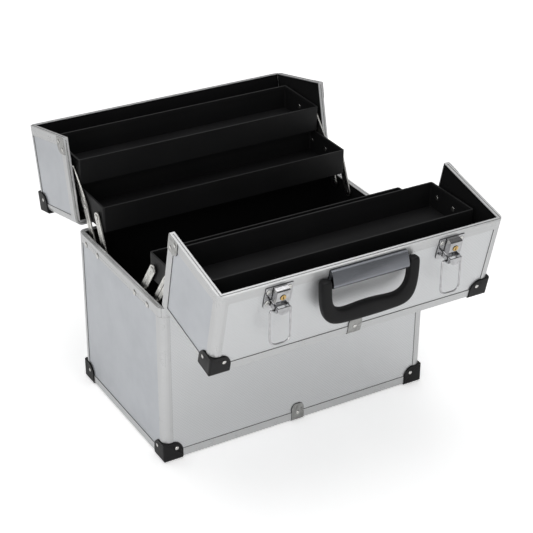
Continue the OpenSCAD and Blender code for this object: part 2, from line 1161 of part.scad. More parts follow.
module rear_lid_lining() {
    color("dimgray")
        open_lid(1)
            lid_lining_solid();
}

module rear_lid_corner_protectors() {
    color("black")
        open_lid(1)
            lid_protectors_solid();
}

module rear_lid_steel_clips() {
    color("silver")
        open_lid(1)
            lid_clips_solid();
}

module rear_lid_rivets() {
    color("silver")
        open_lid(1)
            rear_lid_rivet_set(false);
}

module rear_lid_hinge_leaves() {
    color("silver")
        open_lid(1)
            lid_hinge_leaves_solid();
}

// The hooks that the bails catch on when the box is shut
module latch_keepers() {
    hook_v = keeper_bar_v - wire_r - keeper_lip - latch_t;
    lip_v = keeper_bar_v - wire_r - bar_play;
    plate_end = keeper_edge + keeper_l;
    hook_hw = keeper_hook_w / 2;
    color("silver")
        open_lid(1)
            on_lid_top()
                for (m = [0, 1])
                    mirror([m, 0, 0])
                        translate([latch_x, 0, 0])
                            difference() {
                                union() {
                                    block(
                                        [-keeper_w / 2, keeper_edge, 0],
                                        [keeper_w / 2, plate_end, latch_t]
                                    );
                                    block(
                                        [-hook_hw, hook_v, 0],
                                        [hook_hw, hook_v + latch_t, keeper_h]
                                    );
                                    block(
                                        [-hook_hw, hook_v, keeper_h - latch_t],
                                        [hook_hw, lip_v, keeper_h]
                                    );
                                }
                                for (s = [-1, 1])
                                    translate([s * keeper_rivet_x, keeper_rivet_v, -past])
                                        cylinder(r = small_shank_r + fit_play, h = latch_t + 2 * past);
                            }
}

// ---------- Handle ----------

// Places the handle's own frame: x along its pin, y down its legs, z out of its face
module at_handle() {
    open_lid(-1)
        on_lid_top()
            translate([0, handle_pivot_v, handle_pivot_w])
                rotate([hang, 0, 0])
                    children();
}

module handle_mount() {
    color("lightsteelblue")
        open_lid(-1)
            on_lid_top()
                difference() {
                    along_x(-mount_hl, 2 * mount_hl)
                        polygon([
                            [mount_v0, 0], [mount_seat_v, 0], [mount_seat_v, -skin_t],
                            [mount_v1, -skin_t], [mount_v1, mount_back_h],
                            [mount_step_v, mount_step_h], [mount_ridge_v1, mount_h],
                            [mount_ridge_v0, mount_h], [mount_v0, mount_front_h]
                        ]);
                    both_ends()
                        translate([mount_hl - handle_pin_in, handle_pivot_v, handle_pivot_w])
                            rotate([0, 90, 0])
                                cylinder(r = handle_pin_r, h = handle_pin_in + 1);
                }
}

module handle_pins() {
    color("silver")
        open_lid(-1)
            on_lid_top()
                both_ends()
                    translate([mount_hl - handle_pin_in, handle_pivot_v, handle_pivot_w])
                        rotate([0, 90, 0])
                            cylinder(r = handle_pin_r, h = 2 * handle_pin_in);
}

// Outline of the handle from the front
module handle_outline() {
    difference() {
        translate([-handle_w / 2, -handle_t])
            square([handle_w, handle_len + handle_t]);
        for (m = [0, 1])
            mirror([m, 0])
                translate([-handle_w / 2, handle_len])
                    mirror([0, 1])
                        round_cut(handle_r);
        difference() {
            translate([-handle_w / 2 + handle_leg, -handle_t - 1])
                square([handle_w - 2 * handle_leg, handle_len - grip_d + handle_t + 1]);
            for (m = [0, 1])
                mirror([m, 0])
                    translate([-handle_w / 2 + handle_leg, handle_len - grip_d])
                        mirror([0, 1])
                            round_cut(handle_inner_r);
        }
    }
}

module handle_grip() {
    color("black")
        at_handle()
            difference() {
                intersection() {
                    translate([0, 0, -handle_t / 2])
                        linear_extrude(handle_t)
                            handle_outline();
                    along_x(-handle_w / 2, handle_w)
                        union() {
                            circle(handle_t / 2);
                            difference() {
                                translate([0, -handle_t / 2])
                                    square([handle_len, handle_t]);
                                for (m = [0, 1])
                                    mirror([0, m])
                                        translate([handle_len, -handle_t / 2])
                                            mirror([1, 0])
                                                round_cut(handle_t / 3);
                            }
                        }
                }
                both_ends()
                    translate([mount_hl - 1, 0, 0])
                        rotate([0, 90, 0])
                            cylinder(r = handle_pin_r + pivot_play, h = handle_pin_in + 1.5);
            }
}

// ---------- Latches ----------

// Places a latch: x from its middle, y from the lid's free edge, z off the lid
module at_latch(side) {
    open_lid(-1)
        on_lid_top()
            translate([side * latch_x, 0, 0])
                children();
}

module latch_plate() {
    difference() {
        union() {
            difference() {
                block([-latch_w / 2, latch_edge, 0], [latch_w / 2, latch_edge + latch_l, latch_t]);
                for (m = [0, 1])
                    mirror([m, 0, 0])
                        translate([-latch_w / 2, latch_edge + latch_l, -1])
                            linear_extrude(latch_t + 2)
                                mirror([0, 1])
                                    round_cut(latch_corner_r);
            }
            // The lock housing
            along_x(-lock_w / 2, lock_w)
                polygon([
                    [latch_edge, 0], [latch_edge + lock_l, 0], [latch_edge + lock_l, lock_h],
                    [latch_edge + 1.5, lock_h], [latch_edge, lock_h - 1.5]
                ]);
            // The ears of the lever's pin
            for (m = [0, 1])
                mirror([m, 0, 0]) {
                    along_x(ear_x, ear_t) {
                        translate([lever_v, lever_w])
                            circle(ear_r);
                        translate([lever_v - ear_r, 0])
                            square([2 * ear_r, lever_w]);
                    }
                }
        }
        translate([0, lock_v, lock_w0 - 0.3])
            cylinder(r = lock_r + pivot_play, h = lock_h);
        translate([-ear_x - ear_t - 1, lever_v, lever_w])
            rotate([0, 90, 0])
                cylinder(r = latch_pin_r, h = 2 * (ear_x + ear_t + 1));
        for (p = wing_rivets)
            translate([p[0], p[1], -1])
                cylinder(r = small_shank_r + fit_play, h = latch_t + 2);
    }
    // The lever's pin
    translate([-ear_x - ear_t, lever_v, lever_w])
        rotate([0, 90, 0])
            cylinder(r = latch_pin_r, h = 2 * (ear_x + ear_t));
}

module latch_plates() {
    color("silver") {
        at_latch(1)
            latch_plate();
        at_latch(-1)
            mirror([1, 0, 0])
                latch_plate();
    }
}

// Side view of the lever's cheeks
module lever_cheek() {
    translate([lever_v, lever_w])
        circle(cheek_r);
    translate([latch_pin_v, latch_pin_w])
        circle(cheek_r);
    polygon([
        [lever_v - cheek_r, lever_w], [lever_v - cheek_r, lever_h - lever_t],
        [latch_pin_v, lever_h - lever_t], [latch_pin_v + cheek_r, latch_pin_w],
        [latch_pin_v + 1, latch_pin_w - cheek_r + 0.1], [lever_v + 1, lever_w - cheek_r + 0.1]
    ]);
}

module latch_lever() {
    r = lever_hw - 0.4;
    v0 = lever_v - cheek_r;
    difference() {
        union() {
            for (m = [0, 1])
                mirror([m, 0, 0])
                    along_x(lever_hw - lever_t, lever_t)
                        lever_cheek();
            translate([0, 0, lever_h - lever_t])
                linear_extrude(lever_t) {
                    translate([-lever_hw, v0])
                        square([2 * lever_hw, lever_end_v - r - v0]);
                    translate([0, lever_end_v - r])
                        intersection() {
                            circle(r);
                            translate([-r, -0.01])
                                square([2 * r, r + 0.01]);
                        }
                }
        }
        translate([-lever_hw - 1, lever_v, lever_w])
            rotate([0, 90, 0])
                cylinder(r = latch_pin_r + pivot_play, h = 2 * lever_hw + 2);
        translate([-lever_hw - 1, latch_pin_v, latch_pin_w])
            rotate([0, 90, 0])
                cylinder(r = wire_r + pivot_play, h = 2 * lever_hw + 2);
    }
}

module left_latch_lever() {
    color("silver")
        at_latch(-1)
            latch_lever();
}

module right_latch_lever() {
    color("silver")
        at_latch(1)
            latch_lever();
}

// A quarter bend of the wire from +y towards +x, its start at the origin
module wire_bend(r) {
    translate([r, 0, 0])
        rotate([0, 0, 90])
            rotate_extrude(angle = 90)
                translate([r, 0])
                    circle(wire_r);
}

// A bail, its pin on the x axis and its legs along y
module latch_bail() {
    hb = bail_w / 2;
    for (m = [0, 1])
        mirror([m, 0, 0]) {
            translate([-hb + pin_bend_r, 0, 0])
                rotate([0, 90, 0])
                    cylinder(r = wire_r, h = hb - pin_bend_r - bail_in);
            translate([-hb, pin_bend_r, 0])
                mirror([0, 1, 0])
                    wire_bend(pin_bend_r);
            translate([-hb, pin_bend_r, 0])
                rotate([-90, 0, 0])
                    cylinder(r = wire_r, h = bail_l - bail_r - pin_bend_r);
            translate([-hb, bail_l - bail_r, 0])
                wire_bend(bail_r);
        }
    translate([-hb + bail_r, bail_l, 0])
        rotate([0, 90, 0])
            cylinder(r = wire_r, h = bail_w - 2 * bail_r);
}

module at_bail(side) {
    at_latch(side)
        translate([0, latch_pin_v, latch_pin_w])
            rotate([hang, 0, 0])
                children();
}

module left_latch_bail() {
    color("silver")
        at_bail(-1)
            latch_bail();
}

module right_latch_bail() {
    color("silver")
        at_bail(1)
            latch_bail();
}

module lock_cylinder() {
    translate([0, lock_v, 0])
        difference() {
            translate([0, 0, lock_w0])
                cylinder(r = lock_r, h = lock_h + lock_out - lock_w0);
            translate([-key_t / 2, -key_w / 2, lock_h + lock_out - key_d])
                cube([key_t, key_w, key_d + 1]);
        }
}

module left_lock_cylinder() {
    color("goldenrod")
        at_latch(-1)
            lock_cylinder();
}

module right_lock_cylinder() {
    color("goldenrod")
        at_latch(1)
            lock_cylinder();
}

// ---------- Arms ----------

// Outline of a straight strap between two points
module strap(p, q) {
    d = q - p;
    n = [-d[1], d[0]] / norm(d) * arm_w / 2;
    polygon([p + n, q + n, q - n, p - n]);
    translate(p)
        circle(arm_w / 2);
    translate(q)
        circle(arm_w / 2);
}

// An arm at both ends of one side: the points of its line, and the radius of each bore
module arms(side, points, bores) {
    both_ends()
        on_side(side)
            along_x(arm_x, arm_t)
                difference() {
                    for (i = [1 : len(points) - 1])
                        strap(points[i - 1], points[i]);
                    for (i = [0 : len(points) - 1])
                        translate(points[i])
                            circle(bores[i]);
                }
}

module long_arms(side) {
    arms(side, [base_pivot(side) + next_pin, lower_pin + next_pin, upper_pin], [bore_r, bore_r, bore_r]);
}

module short_arms(side) {
    arms(side, [base_pivot(side), lower_pin], [bore_r, open_bore_r]);
}

module upper_arms(side) {
    arms(side, [lower_pin + 2 * next_pin, upper_pin + next_pin], [bore_r, open_bore_r]);
}

module front_long_arms() {
    color("silver")
        long_arms(-1);
}

module front_short_arms() {
    color("silver")
        short_arms(-1);
}

module front_upper_arms() {
    color("silver")
        upper_arms(-1);
}

module rear_long_arms() {
    color("silver")
        long_arms(1);
}

module rear_short_arms() {
    color("silver")
        short_arms(1);
}

module rear_upper_arms() {
    color("silver")
        upper_arms(1);
}

// ---------- Trays ----------

// Outline of a tray from above: inner is its inner wall, inset moves it in
module tray_outline(inner, inset) {
    difference() {
        translate([-tray_hl + inset, inner + inset])
            square([2 * (tray_hl - inset), tray_w - 2 * inset]);
        for (mx = [0, 1])
            mirror([mx, 0]) {
                translate([-tray_hl + inset, inner + inset])
                    round_cut(tray_r - inset);
                translate([-tray_hl + inset, inner + tray_w - inset])
                    mirror([0, 1])
                        round_cut(tray_r - inset);
            }
    }
}

module tray(side, inner, low, pins) {
    color("dimgray")
        on_side(side)
            difference() {
                translate([0, 0, low])
                    linear_extrude(tray_h)
                        tray_outline(inner, 0);
                translate([0, 0, low + tray_t])
                    linear_extrude(tray_h - hem_h - tray_t)
                        tray_outline(inner, tray_t);
                translate([0, 0, low + tray_h - hem_h - eps])
                    linear_extrude(hem_h + 1)
                        tray_outline(inner, tray_hem);
                for (p = pins)
                    both_ends()
                        translate([tray_hl - around, p[0], p[1]])
                            rotate([0, 90, 0])
                                cylinder(r = rivet_r + fit_play, h = 2 * around);
            }
}

lower_pins = [lower_pin, lower_pin + next_pin, lower_pin + 2 * next_pin];
upper_pins = [upper_pin, upper_pin + next_pin];

module front_lower_tray() {
    tray(-1, lower_in, lower_floor, lower_pins);
}

module front_upper_tray() {
    tray(-1, upper_in, upper_floor, upper_pins);
}

module rear_lower_tray() {
    tray(1, lower_in, lower_floor, lower_pins);
}

module rear_upper_tray() {
    tray(1, upper_in, upper_floor, upper_pins);
}

// The rivets of one tray, at both ends
module tray_rivets(side, pins) {
    inside = tray_hl - tray_t;
    color("silver")
        on_side(side)
            both_ends()
                for (p = pins)
                    translate([0, p[0], p[1]])
                        rotate([0, 90, 0])
                            rotate_extrude()
                                polygon([
                                    [0, inside - 0.9], [inner_head_r * 0.6, inside - 0.9],
                                    [inner_head_r, inside - 0.3], [inner_head_r, inside],
                                    [rivet_r, inside], [rivet_r, tray_hl],
                                    [shoulder_r, tray_hl], [shoulder_r, arm_x - arm_play],
                                    [rivet_r, arm_x - arm_play], [rivet_r, arm_out + arm_play],
                                    [rivet_head_r, arm_out + arm_play],
                                    [rivet_head_r, arm_out + arm_play + 0.4],
                                    [rivet_head_r * 0.6, arm_out + arm_play + 1],
                                    [0, arm_out + arm_play + 1]
                                ]);
}

module front_lower_tray_rivets() {
    tray_rivets(-1, lower_pins);
}

module front_upper_tray_rivets() {
    tray_rivets(-1, upper_pins);
}

module rear_lower_tray_rivets() {
    tray_rivets(1, lower_pins);
}

module rear_upper_tray_rivets() {
    tray_rivets(1, upper_pins);
}

base_bottom_panel();
base_front_panel();
base_rear_panel();
base_left_panel();
base_right_panel();
base_corner_profiles();
base_bottom_profiles();
base_rim_profiles();
base_lining();
base_corner_protectors();
base_edge_clips();
base_rivets();
base_hinge_leaves();
hinge_pins();
arm_base_rivets();
front_lid_top_panel();
front_lid_outer_panel();
front_lid_end_panels();
front_lid_edge_profiles();
front_lid_rim_profiles();
front_lid_lining();
front_lid_corner_protectors();
front_lid_steel_clips();
front_lid_rivets();
front_lid_hinge_leaves();
rear_lid_top_panel();
rear_lid_outer_panel();
rear_lid_end_panels();
rear_lid_edge_profiles();
rear_lid_rim_profiles();
rear_lid_lining();
rear_lid_corner_protectors();
rear_lid_steel_clips();
rear_lid_rivets();
rear_lid_hinge_leaves();
latch_keepers();
handle_mount();
handle_pins();
handle_grip();
latch_plates();
left_latch_lever();
right_latch_lever();
left_latch_bail();
right_latch_bail();
left_lock_cylinder();
right_lock_cylinder();
front_long_arms();
front_short_arms();
front_upper_arms();
rear_long_arms();
rear_short_arms();
rear_upper_arms();
front_lower_tray();
front_upper_tray();
rear_lower_tray();
rear_upper_tray();
front_lower_tray_rivets();
front_upper_tray_rivets();
rear_lower_tray_rivets();
rear_upper_tray_rivets();
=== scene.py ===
# %% [markdown]
# # A cantilever tool box
# The construction comes ready made: every board, profile, tray, arm and rivet is a solid in the
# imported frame. This lesson gives those solids their finish. It rounds their edges as a press or
# a file would, mixes their materials from nodes, and gives the handle the soft form of a
# moulding.

import json
import math

import bmesh
import bpy
from mathutils import Matrix, Vector


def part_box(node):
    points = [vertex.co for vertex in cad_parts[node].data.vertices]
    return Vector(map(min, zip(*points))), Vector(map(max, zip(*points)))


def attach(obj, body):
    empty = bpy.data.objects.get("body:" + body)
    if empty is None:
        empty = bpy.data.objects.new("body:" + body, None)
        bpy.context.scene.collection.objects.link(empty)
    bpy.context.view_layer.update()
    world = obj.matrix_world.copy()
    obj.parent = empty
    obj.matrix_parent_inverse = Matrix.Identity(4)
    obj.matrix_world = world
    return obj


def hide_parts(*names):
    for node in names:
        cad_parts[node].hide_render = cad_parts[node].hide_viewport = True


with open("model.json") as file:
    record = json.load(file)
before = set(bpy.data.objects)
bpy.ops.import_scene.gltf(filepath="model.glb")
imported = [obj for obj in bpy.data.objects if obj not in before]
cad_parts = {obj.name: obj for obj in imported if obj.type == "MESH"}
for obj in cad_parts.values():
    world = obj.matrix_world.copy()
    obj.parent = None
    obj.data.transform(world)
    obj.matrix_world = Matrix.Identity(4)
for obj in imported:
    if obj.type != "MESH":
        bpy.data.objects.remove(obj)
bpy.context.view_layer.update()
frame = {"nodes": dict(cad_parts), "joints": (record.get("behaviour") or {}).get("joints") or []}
MM = 0.001

# %% [markdown]
# ## Where things are
# All places are worked out from the frame, so nothing is measured twice. The lids stand open,
# and a finish is easier to lay out on a shut lid, so each lid also gets the turn that would
# shut it. Distances in this lesson are in metres, and MM turns millimetres into metres.

# %% The case's main sizes
_, base_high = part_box("base_rim_profiles")
floor_low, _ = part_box("base_bottom_profiles")
CASE_HALF_LENGTH = base_high.x
CASE_HALF_WIDTH = base_high.y
RIM_TOP = base_high.z
CASE_FLOOR = floor_low.z
LID_HEIGHT = 126 * MM
GAP = 0.5 * MM  # between a shut lid and the rim, and from each lid to the middle of the seam
LID_FLOOR = RIM_TOP + GAP
LID_TOP = LID_FLOOR + LID_HEIGHT
joints = {joint["name"]: joint for joint in frame["joints"]}
lid_hinge = Vector(joints["rear_lid_hinge"]["pos_m"])
LID_OPEN = math.radians(joints["rear_lid_hinge"]["range_deg"][1])
# The corners of the base and of the two shut lids, by side: 0 is the base, -1 the front
CORNERS = {
    0: (
        (-CASE_HALF_LENGTH, -CASE_HALF_WIDTH, CASE_FLOOR),
        (CASE_HALF_LENGTH, CASE_HALF_WIDTH, RIM_TOP),
    ),
    -1: (
        (-CASE_HALF_LENGTH, -CASE_HALF_WIDTH, LID_FLOOR),
        (CASE_HALF_LENGTH, -GAP, LID_TOP),
    ),
    1: (
        (-CASE_HALF_LENGTH, GAP, LID_FLOOR),
        (CASE_HALF_LENGTH, CASE_HALF_WIDTH, LID_TOP),
    ),
}
SIDES = {"base": 0, "front lid": -1, "rear lid": 1}
print("case", round(2 * CASE_HALF_LENGTH, 4), "by", round(2 * CASE_HALF_WIDTH, 4))
print("rim at", round(RIM_TOP, 4))


# %% The move from a shut lid to the open one
def open_lid(side):
    """The matrix that takes a piece of a shut lid to where it stands open; side is 1 at the rear."""
    pivot = Vector((0, side * lid_hinge.y, lid_hinge.z))
    turn = Matrix.Rotation(-side * LID_OPEN, 4, "X")
    return Matrix.Translation(pivot) @ turn @ Matrix.Translation(-pivot)


print("rear lid's top edge goes to", open_lid(1) @ Vector((0, GAP, LID_TOP)))

# %% [markdown]
# ## The camera
# A long lens from the front left and above, as for a catalogue picture. The lens is shifted a
# little, because the object doesn't lie in the middle of the picture.

# %% Place the camera
LENS_MM = 106.271
CAMERA_AZIMUTH = math.radians(-31.3323)
CAMERA_ELEVATION = math.radians(30.2757)
CAMERA_ROLL = math.radians(0.9503)
CAMERA_PLACE = Vector((-0.93215, -1.63216, 1.21786))
camera_data = bpy.data.cameras.new("camera")
camera_data.lens = LENS_MM
camera_data.sensor_width = 36
camera_data.shift_x = -0.0460
camera_data.shift_y = 0.0715
camera_data.clip_end = 50
camera = bpy.data.objects.new("camera", camera_data)
bpy.context.scene.collection.objects.link(camera)
bpy.context.scene.camera = camera
backward = Vector(
    (
        math.sin(CAMERA_AZIMUTH) * math.cos(CAMERA_ELEVATION),
        -math.cos(CAMERA_AZIMUTH) * math.cos(CAMERA_ELEVATION),
        math.sin(CAMERA_ELEVATION),
    )
)
level_right = Vector((math.cos(CAMERA_AZIMUTH), math.sin(CAMERA_AZIMUTH), 0))
level_up = backward.cross(level_right)
roll_cos, roll_sin = math.cos(CAMERA_ROLL), math.sin(CAMERA_ROLL)
right = roll_cos * level_right + roll_sin * level_up
up = -roll_sin * level_right + roll_cos * level_up
camera.matrix_world = Matrix.Translation(CAMERA_PLACE) @ Matrix((right, up, backward)).transposed().to_4x4()
print("camera looks along", -backward)

# %% [markdown]
# ## Writing materials with few words
# A material is a tree of nodes. Three helpers keep the trees readable: one adds a node and
# fills its sockets, one adds a Math node, and one opens a new group with named inputs and
# outputs. A value may be a plain number or another node's socket, which is then linked.


# %% Helpers for node trees
def fill(tree, socket, value):
    """Links value if it is a socket, and otherwise sets it."""
    if isinstance(value, bpy.types.NodeSocket):
        tree.links.new(value, socket)
    elif value is not None:
        socket.default_value = value


def add(tree, kind, values=(), **settings):
    """A new node: values is a list by place, or a dict by socket name."""
    node = tree.nodes.new("ShaderNode" + kind)
    for name, setting in settings.items():
        setattr(node, name, setting)
    pairs = values.items() if isinstance(values, dict) else enumerate(values)
    for key, value in pairs:
        fill(tree, node.inputs[key], value)
    return node


def calc(tree, operation, *values):
    """The result of a Math node."""
    return add(tree, "Math", values, operation=operation).outputs[0]


def vector(tree, operation, *values):
    """The vector that a Vector Math node gives."""
    return add(tree, "VectorMath", values, operation=operation).outputs[0]


def ramp(tree, value, low, high, to_low=0.0, to_high=1.0):
    """Maps value from low..high to to_low..to_high, and holds it at the ends."""
    node = add(tree, "MapRange", [value, low, high, to_low, to_high], clamp=True)
    return node.outputs[0]


def new_group(name, inputs, outputs):
    """An empty node group: inputs and outputs map a socket's name to its kind."""
    tree = bpy.data.node_groups.new(name, "ShaderNodeTree")
    for label, kind in inputs.items():
        tree.interface.new_socket(label, in_out="INPUT", socket_type="NodeSocket" + kind)
    for label, kind in outputs.items():
        tree.interface.new_socket(label, in_out="OUTPUT", socket_type="NodeSocket" + kind)
    return tree, tree.nodes.new("NodeGroupInput").outputs, tree.nodes.new("NodeGroupOutput").inputs


def use_group(tree, group, values):
    """Places a group in a material and returns its outputs."""
    node = tree.nodes.new("ShaderNodeGroup")
    node.node_tree = group
    for label, value in values.items():
        fill(tree, node.inputs[label], value)
    return node.outputs


print("helpers ready")

# %% [markdown]
# ## Where on the case a point lies
# The profiles have fine lines along their length, and the boards have a pattern that lies flat
# in their face. Both need to know which way a face looks and how far a point is from the
# case's edges. This group turns an open lid's points back to the shut place, gives them in
# millimetres, and says which way the face looks.


# %% Group: case coordinates
def make_case_coordinates():
    tree, given, result = new_group(
        "case coordinates",
        {"Turn": "Float", "Pivot": "Vector"},
        {"Point": "Vector", "Facing": "Vector"},
    )
    place = tree.nodes.new("ShaderNodeTexCoord").outputs
    about_pivot = {"Vector": place["Object"], "Center": given["Pivot"], "Angle": given["Turn"]}
    turned = add(tree, "VectorRotate", about_pivot, rotation_type="X_AXIS").outputs[0]
    about_origin = {"Vector": place["Normal"], "Angle": given["Turn"]}
    looks = add(tree, "VectorRotate", about_origin, rotation_type="X_AXIS").outputs[0]
    scaled = add(tree, "VectorMath", {"Vector": turned, "Scale": 1 / MM}, operation="SCALE").outputs[0]
    fill(tree, result["Point"], scaled)
    fill(tree, result["Facing"], vector(tree, "ABSOLUTE", looks))
    return tree


CASE_COORDINATES = make_case_coordinates()
print("group:", CASE_COORDINATES.name)

# %% [markdown]
# ## The embossed boards
# The boards are faced with a silver sheet that is rolled with small diamonds. Waves along the
# two diagonals of a face, multiplied, make such a field of bumps. The group also gives the
# furrows between the diamonds, which the boards colour a little darker.


# %% Group: diamond emboss
def make_diamond_emboss():
    tree, given, result = new_group(
        "diamond emboss",
        {"Point": "Vector", "Facing": "Vector", "Pitch": "Float"},
        {"Height": "Float", "Furrow": "Float"},
    )
    point = add(tree, "SeparateXYZ", [given["Point"]]).outputs
    facing = add(tree, "SeparateXYZ", [given["Facing"]]).outputs
    # A face looks along an axis if that part of its normal is over 0.7, which is 45 degrees
    on_end = calc(tree, "GREATER_THAN", facing[0], 0.7)
    on_top = calc(tree, "GREATER_THAN", facing[2], 0.7)
    across = add(tree, "Mix", {"Factor": on_end, "A": point[0], "B": point[1]}).outputs[0]
    along = add(tree, "Mix", {"Factor": on_top, "A": point[2], "B": point[1]}).outputs[0]
    waves = []
    for operation in ("ADD", "SUBTRACT"):
        slant = calc(tree, operation, across, along)
        angle = calc(tree, "DIVIDE", calc(tree, "MULTIPLY", slant, math.pi), given["Pitch"])
        waves.append(calc(tree, "ABSOLUTE", calc(tree, "SINE", angle)))
    field = calc(tree, "MULTIPLY", *waves)
    fill(tree, result["Height"], ramp(tree, field, 0.02, 0.6))
    fill(tree, result["Furrow"], ramp(tree, field, 0.0, 0.22, 1.0, 0.0))
    return tree


DIAMOND_EMBOSS = make_diamond_emboss()
print("group:", DIAMOND_EMBOSS.name)

# %% [markdown]
# ## How far from an edge
# The profiles are drawn along the case's edges, and the boards end where the profiles do. So
# both need the distance to the nearest edge of the case, measured in the face. The group leaves
# out the axis that the face looks along.


# %% Group: edge distance
def make_edge_distance():
    tree, given, result = new_group(
        "edge distance",
        {"Point": "Vector", "Facing": "Vector", "Low": "Vector", "High": "Vector"},
        {"Across": "Float"},
    )
    to_low = vector(tree, "ABSOLUTE", vector(tree, "SUBTRACT", given["Point"], given["Low"]))
    to_high = vector(tree, "ABSOLUTE", vector(tree, "SUBTRACT", given["High"], given["Point"]))
    nearest = add(tree, "SeparateXYZ", [vector(tree, "MINIMUM", to_low, to_high)]).outputs
    facing = add(tree, "SeparateXYZ", [given["Facing"]]).outputs
    ways = []
    for i in range(3):
        # An axis that the face looks along is put out of reach of the minimum
        blocked = calc(tree, "MULTIPLY", calc(tree, "GREATER_THAN", facing[i], 0.6), 1000.0)
        ways.append(calc(tree, "ADD", nearest[i], blocked))
    fill(tree, result["Across"], calc(tree, "MINIMUM", calc(tree, "MINIMUM", ways[0], ways[1]), ways[2]))
    return tree


EDGE_DISTANCE = make_edge_distance()
print("group:", EDGE_DISTANCE.name)

# %% [markdown]
# ## Drawn aluminium
# An extruded profile carries faint lines along its whole length, where the die has scratched
# it. They run parallel to the nearest edge of the case, so at a mitre they turn the corner.
# One-dimensional noise, read at the distance from the edge, gives such lines.


# %% Group: drawn lines
def make_drawn_lines():
    tree, given, result = new_group("drawn lines", {"Across": "Float"}, {"Height": "Float", "Tone": "Float"})
    across = given["Across"]
    fine = {"W": across, "Scale": 6.0, "Detail": 3.0}
    broad = {"W": across, "Scale": 0.55, "Detail": 1.0}
    fine, broad = (add(tree, "TexNoise", v, noise_dimensions="1D").outputs[0] for v in (fine, broad))
    fill(tree, result["Height"], fine)
    fill(tree, result["Tone"], broad)
    return tree


DRAWN_LINES = make_drawn_lines()
print("group:", DRAWN_LINES.name)

# %% [markdown]
# ## Marks of use
# Even a new case has been handled. Broad soft noise stands for the film that hands leave, and
# long thin streaks for light scratches. Both are masks, so each material decides how much they
# change its roughness or its colour.


# %% Group: handling marks
def make_handling_marks():
    tree, given, result = new_group(
        "handling marks",
        {"Point": "Vector", "Spread": "Float"},
        {"Smudge": "Float", "Scratch": "Float"},
    )
    size = calc(tree, "DIVIDE", 1.0, given["Spread"])
    cloudy = add(tree, "TexNoise", {"Vector": given["Point"], "Scale": size, "Detail": 4.0, "Roughness": 0.6})
    fill(tree, result["Smudge"], ramp(tree, cloudy.outputs[0], 0.38, 0.66))
    tilt = {"Vector": given["Point"], "Axis": (0.4, 0.7, 0.2), "Angle": 0.9}
    leaning = add(tree, "VectorRotate", tilt).outputs[0]
    drawn_out = vector(tree, "MULTIPLY", leaning, (0.035, 0.9, 0.9))
    streaks = add(tree, "TexNoise", {"Vector": drawn_out, "Scale": 0.9, "Detail": 2.0}).outputs[0]
    from_middle = calc(tree, "ABSOLUTE", calc(tree, "SUBTRACT", streaks, 0.5))
    thin = ramp(tree, from_middle, 0.0, 0.006, 1.0, 0.0)
    patchy = add(tree, "TexNoise", {"Vector": given["Point"], "Scale": 0.05}).outputs[0]
    fill(tree, result["Scratch"], calc(tree, "MULTIPLY", thin, ramp(tree, patchy, 0.52, 0.62)))
    return tree


HANDLING_MARKS = make_handling_marks()
print("group:", HANDLING_MARKS.name)

# %% [markdown]
# ## Grain of moulded plastic and of lining
# The corner protectors and the handle come out of moulds that were etched with a fine pebble
# grain. The same cells, smaller and deeper, pass for the nap of the black lining. Voronoi
# cells give the pebbles, and noise keeps them from looking like a net.


# %% Group: pebble grain
def make_pebble_grain():
    tree, given, result = new_group(
        "pebble grain",
        {"Point": "Vector", "Size": "Float"},
        {"Height": "Float", "Speck": "Float"},
    )
    size = calc(tree, "DIVIDE", 1.0, given["Size"])
    cells = add(tree, "TexVoronoi", {"Vector": given["Point"], "Scale": size}, feature="SMOOTH_F1").outputs[0]
    rough = add(tree, "TexNoise", {"Vector": given["Point"], "Scale": size, "Detail": 3.0}).outputs[0]
    height = calc(tree, "ADD", calc(tree, "MULTIPLY", cells, 0.65), calc(tree, "MULTIPLY", rough, 0.5))
    fill(tree, result["Height"], height)
    fill(tree, result["Speck"], ramp(tree, rough, 0.58, 0.72))
    return tree


PEBBLE_GRAIN = make_pebble_grain()
print("group:", PEBBLE_GRAIN.name)

# %% [markdown]
# ## Bright edges
# Where an edge is rubbed, its finish is worn through or polished. The Bevel node gives the
# normal that a rounded edge would have. Where it differs from the true normal there is an
# edge, and noise breaks the edge up.


# %% Group: rubbed edge
def make_rubbed_edge():
    tree, given, result = new_group(
        "rubbed edge",
        {"Point": "Vector", "Radius": "Float", "Patchiness": "Float"},
        {"Mask": "Float"},
    )
    rounded = add(tree, "Bevel", {"Radius": given["Radius"]}, samples=4).outputs[0]
    true_normal = tree.nodes.new("ShaderNodeNewGeometry").outputs["Normal"]
    match = add(tree, "VectorMath", [rounded, true_normal], operation="DOT_PRODUCT").outputs["Value"]
    edge = ramp(tree, match, 0.80, 0.97, 1.0, 0.0)
    broken = add(tree, "TexNoise", {"Vector": given["Point"], "Scale": 0.35, "Detail": 4.0}).outputs[0]
    kept = ramp(tree, calc(tree, "ADD", broken, given["Patchiness"]), 0.45, 0.7)
    fill(tree, result["Mask"], calc(tree, "MULTIPLY", edge, kept))
    return tree


RUBBED_EDGE = make_rubbed_edge()
print("group:", RUBBED_EDGE.name)

# %% [markdown]
# ## Painted shade in crevices
# Where two pieces meet there is a fine gap, and shade falls into it and into every groove. The
# Ambient Occlusion node finds such places by itself: it looks about from a point for a
# millimetre or two and says how much of the view is blocked. There the colour is painted nearly
# black, so the joints of the boards, the grooves of the rims and the edges of clips and rivets all
# get painted shade without being drawn one by one.


# %% Group: painted crevice shade
def make_painted_crevice_shade():
    tree, given, result = new_group("painted_crevice_shade", {"Reach": "Float"}, {"Mask": "Float"})
    look = add(tree, "AmbientOcclusion", {"Distance": given["Reach"]}, samples=8).outputs["AO"]
    # The mask is 1 where much of the view is blocked, and there shade is painted
    fill(tree, result["Mask"], ramp(tree, look, 0.60, 0.86, 1.0, 0.0))
    return tree


PAINTED_CREVICE_SHADE = make_painted_crevice_shade()
# The colour of the painted shade, and how far the occlusion looks for it on boards and on metal
CREVICE_SHADE_COLOR = (0.03, 0.03, 0.03)
BOARD_SHADE_REACH = 1.6 * MM
METAL_SHADE_REACH = 2.4 * MM
print("group:", PAINTED_CREVICE_SHADE.name)

